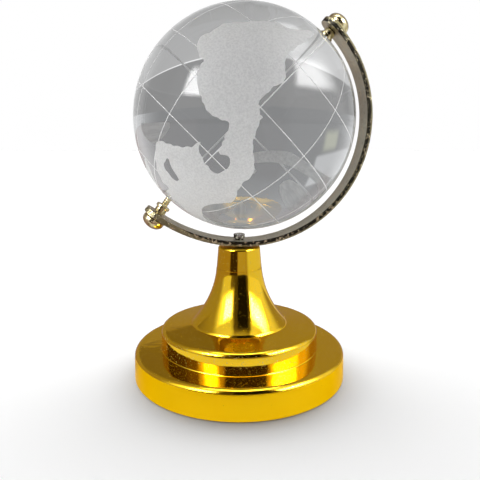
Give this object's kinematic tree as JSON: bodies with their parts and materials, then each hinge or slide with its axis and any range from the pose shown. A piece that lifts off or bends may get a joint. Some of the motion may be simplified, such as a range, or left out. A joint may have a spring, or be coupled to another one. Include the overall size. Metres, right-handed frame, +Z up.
{
  "type": "glass desk globe",
  "caption": "Clear glass globe ball with frosted land and fine engraved grid, spinning in an open metal arc on a turned, gold-plated pedestal stand.",
  "frame": {"origin": "centre of the stand's flat underside", "axes": "+Z up along the stand's stem; the arc lies in the XZ plane and the spin axis leans towards +X at the top"},
  "size_m": [0.0557, 0.0512, 0.0858],
  "materials": {
    "gold_plate": "mirror-bright yellow gold plating, satin on the outer wall of the base",
    "arc_plating": "dull tan-grey plating with dark bevelled edges and pale gold glints",
    "screw_steel": "dark bright steel",
    "pale_gold": "bright pale gold plating",
    "clear_glass": "polished clear crystal glass with sandblasted, frosted land areas and fine engraved white lines"
  },
  "bodies": {
    "pedestal": {"stand": "gold_plate", "meridian_arc": "arc_plating", "stand_screw": "screw_steel", "upper_pivot_pin": "pale_gold", "upper_cap_nut": "pale_gold", "lower_pivot_pin": "pale_gold", "lower_cap_nut": "pale_gold"},
    "ball": {"glass_ball": "clear_glass"}
  },
  "joints": [
    {"name": "ball_spin", "type": "hinge", "parent": "pedestal", "child": "ball", "pos_m": [0.0012, 0, 0.0608], "axis": [0.7071, 0, 0.7071], "continuous": true}
  ]
}
